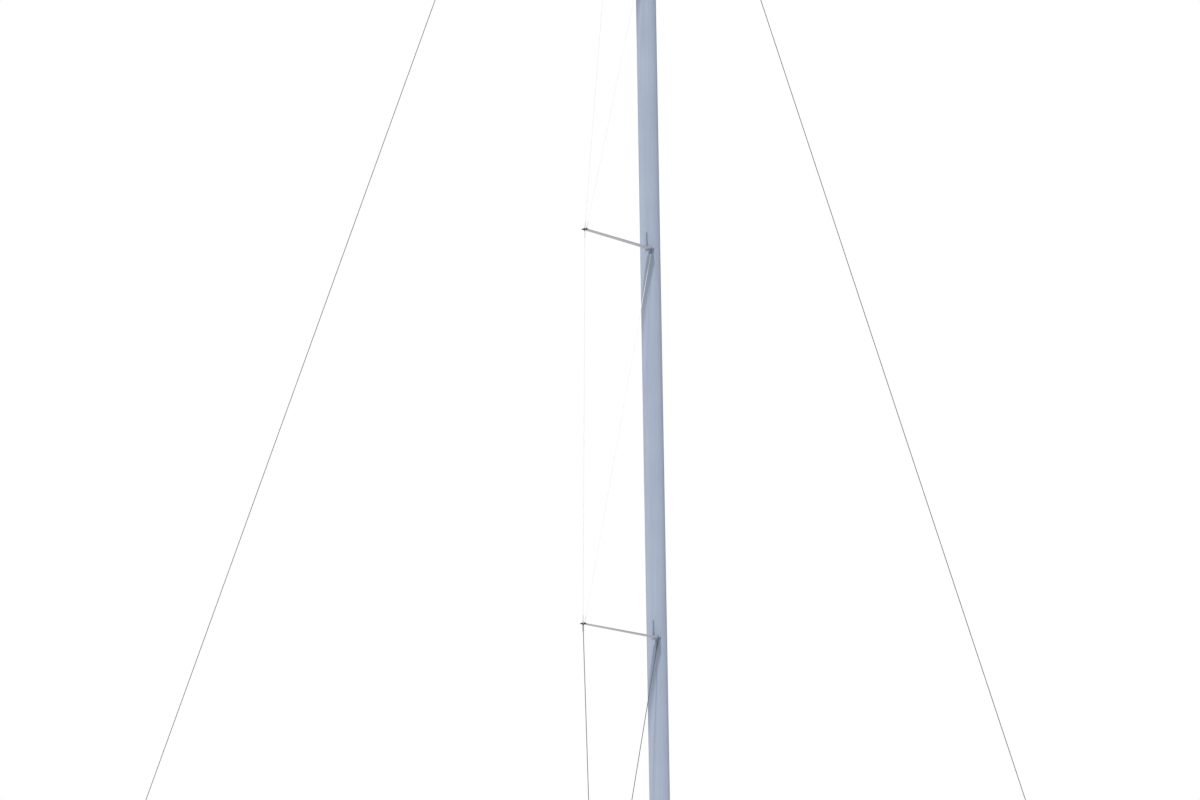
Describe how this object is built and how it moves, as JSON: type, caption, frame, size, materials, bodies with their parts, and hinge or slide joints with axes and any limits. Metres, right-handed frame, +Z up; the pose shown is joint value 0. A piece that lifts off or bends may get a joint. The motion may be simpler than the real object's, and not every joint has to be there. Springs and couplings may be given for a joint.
{
  "type": "sailing yacht mast and rigging",
  "caption": "Raked yacht mast with swept spreaders, shrouds and stays, masthead sheaves and wind sensors, and a boom held up by a rigid vang.",
  "frame": {"origin": "centre of the mast step's bottom face, on the deck plane", "axes": "+X towards the bow, +Y to port, +Z up"},
  "size_m": [12.8715, 2.738, 18.832],
  "materials": {
    "spar_paint": "satin blue-grey paint on an extruded spar",
    "spreader_paint": "satin grey",
    "cast_fitting": "anodised casting",
    "stay_wire": "laid stainless wire",
    "bright_wire": "polished stainless wire",
    "polished_stainless": "polished",
    "black_moulding": "moulded"
  },
  "bodies": {
    "mast": {"mast_step": "cast_fitting", "mast_tube": "spar_paint", "masthead_crane": "cast_fitting", "hounds_band": "polished_stainless", "gooseneck_bracket": "polished_stainless", "vang_bracket": "polished_stainless", "wind_arm": "cast_fitting", "spreader_root_1": "cast_fitting", "spreader_1_port": "spreader_paint", "spreader_cap_1_port": "black_moulding", "spreader_1_starboard": "spreader_paint", "spreader_cap_1_starboard": "black_moulding", "spreader_root_2": "cast_fitting", "spreader_2_port": "spreader_paint", "spreader_cap_2_port": "black_moulding", "spreader_2_starboard": "spreader_paint", "spreader_cap_2_starboard": "black_moulding", "spreader_root_3": "cast_fitting", "spreader_3_port": "spreader_paint", "spreader_cap_3_port": "black_moulding", "spreader_3_starboard": "spreader_paint", "spreader_cap_3_starboard": "black_moulding", "cap_shroud_lower_port": "stay_wire", "cap_shroud_middle_port": "bright_wire", "cap_shroud_upper_port": "bright_wire", "lower_shroud_port": "stay_wire", "diagonal_2_port": "bright_wire", "diagonal_3_port": "bright_wire", "chainplate_port": "polished_stainless", "cap_shroud_screw_port": "polished_stainless", "lower_shroud_screw_port": "polished_stainless", "cap_shroud_lower_starboard": "stay_wire", "cap_shroud_middle_starboard": "bright_wire", "cap_shroud_upper_starboard": "bright_wire", "lower_shroud_starboard": "stay_wire", "diagonal_2_starboard": "bright_wire", "diagonal_3_starboard": "bright_wire", "chainplate_starboard": "polished_stainless", "cap_shroud_screw_starboard": "polished_stainless", "lower_shroud_screw_starboard": "polished_stainless", "forestay": "stay_wire", "backstay": "stay_wire", "forestay_chainplate": "polished_stainless", "backstay_chainplate": "polished_stainless", "forestay_screw": "polished_stainless", "backstay_screw": "polished_stainless"},
    "gooseneck": {"gooseneck_toggle": "polished_stainless"},
    "boom": {"boom_tube": "spar_paint", "boom_front": "cast_fitting", "boom_end": "cast_fitting", "vang_lug": "polished_stainless"},
    "vang_heel": {"vang_toggle": "polished_stainless"},
    "vang_tube": {"vang_barrel": "cast_fitting"},
    "vang_strut": {"vang_rod": "polished_stainless"},
    "sheave_fore": {"halyard_sheave_fore": "black_moulding"},
    "sheave_aft": {"halyard_sheave_aft": "black_moulding"},
    "cups": {"wind_cups": "black_moulding"},
    "vane": {"wind_vane": "black_moulding"}
  },
  "joints": [
    {"name": "boom_swing", "type": "hinge", "parent": "mast", "child": "gooseneck", "pos_m": [-0.19833, 0, 1.24701], "axis": [-0.0159, 0, 0.9999], "range_deg": [-75, 75]},
    {"name": "boom_lift", "type": "hinge", "parent": "gooseneck", "child": "boom", "pos_m": [-0.25032, 0, 1.24618], "axis": [0, 1, 0], "range_deg": [-3, 12]},
    {"name": "vang_swing", "type": "hinge", "parent": "mast", "child": "vang_heel", "pos_m": [-0.18324, 0, 0.29713], "axis": [-0.0159, 0, 0.9999], "range_deg": [-75, 75]},
    {"name": "vang_pitch", "type": "hinge", "parent": "vang_heel", "child": "vang_tube", "pos_m": [-0.23523, 0, 0.2963], "axis": [0, 1, 0], "range_deg": [-2.2, 8.7]},
    {"name": "vang_slide", "type": "slide", "parent": "vang_tube", "child": "vang_strut", "axis": [-0.8786, 0, 0.4776], "range_m": [-0.042, 0.1675]},
    {"name": "sheave_fore_spin", "type": "hinge", "parent": "mast", "child": "sheave_fore", "pos_m": [-0.16578, 0, 18.4967], "axis": [0, 1, 0], "continuous": true},
    {"name": "sheave_aft_spin", "type": "hinge", "parent": "mast", "child": "sheave_aft", "pos_m": [-0.43375, 0, 18.49244], "axis": [0, 1, 0], "continuous": true},
    {"name": "cups_spin", "type": "hinge", "parent": "mast", "child": "cups", "pos_m": [0.32234, 0, 18.74448], "axis": [-0.0159, 0, 0.9999], "continuous": true},
    {"name": "vane_spin", "type": "hinge", "parent": "mast", "child": "vane", "pos_m": [0.32234, 0, 18.74448], "axis": [-0.0159, 0, 0.9999], "continuous": true}
  ],
  "couplings": [
    {"joint": "vang_swing", "follows": "boom_swing", "ratio": 1},
    {"joint": "vang_pitch", "follows": "boom_lift", "ratio": 0.7223},
    {"joint": "vang_slide", "follows": "boom_lift", "m_per_rad": 0.7983}
  ]
}
